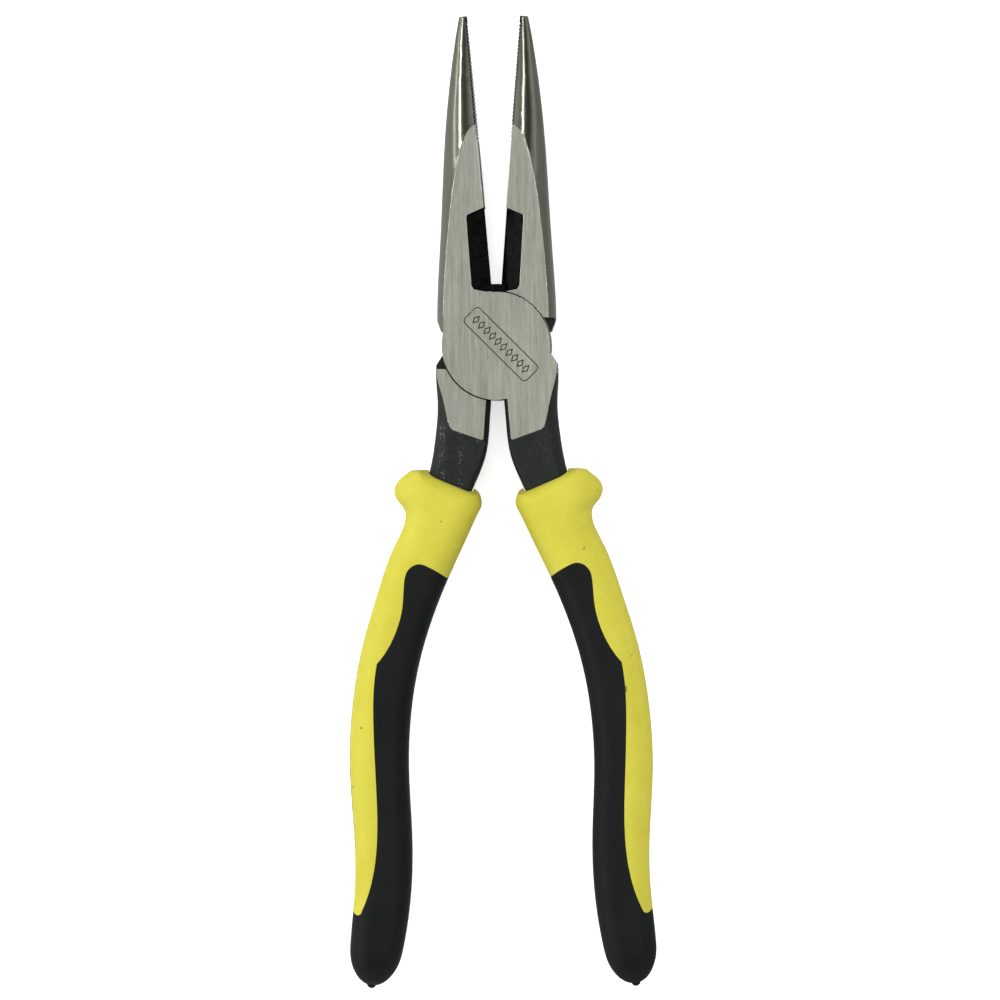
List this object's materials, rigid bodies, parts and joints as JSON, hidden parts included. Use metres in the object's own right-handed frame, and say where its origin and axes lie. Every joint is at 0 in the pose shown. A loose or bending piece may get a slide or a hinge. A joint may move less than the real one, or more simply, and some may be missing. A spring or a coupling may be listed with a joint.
{
  "type": "long nose side cutting pliers",
  "caption": "Long nose pliers with serrated gripping jaws, side cutters, a riveted lap joint and two-colour moulded grips with thumb guards.",
  "frame": {"origin": "on the rivet's axis, in the plane of the joint's ground back face", "axes": "+Z along the rivet's axis towards the engraved front face, +Y towards the tips of the jaws, +X towards the right-hand handle seen from the front"},
  "size_m": [0.0692, 0.2197, 0.0178],
  "materials": {
    "forged_steel": "ground and brushed flats, polished nose, black oxide tangs and cutter hollows",
    "rivet_steel": "ground flush with the flats",
    "grip_core": "moulded, matte black",
    "grip_cover": "moulded, soft matte yellow with a fine grain",
    "grip_inlay": "matte black, flush"
  },
  "bodies": {
    "front_half": {"front_lever": "forged_steel", "pivot_rivet": "rivet_steel", "right_grip_core": "grip_core", "right_grip_cover": "grip_cover"},
    "back_half": {"back_lever": "forged_steel", "left_grip_core": "grip_core", "left_grip_cover": "grip_cover", "left_grip_inlays": "grip_inlay"}
  },
  "joints": [
    {"name": "jaw_pivot", "type": "hinge", "parent": "front_half", "child": "back_half", "pos_m": [0, 0, 0], "axis": [0, 0, -1], "range_deg": [-9, 23]}
  ]
}
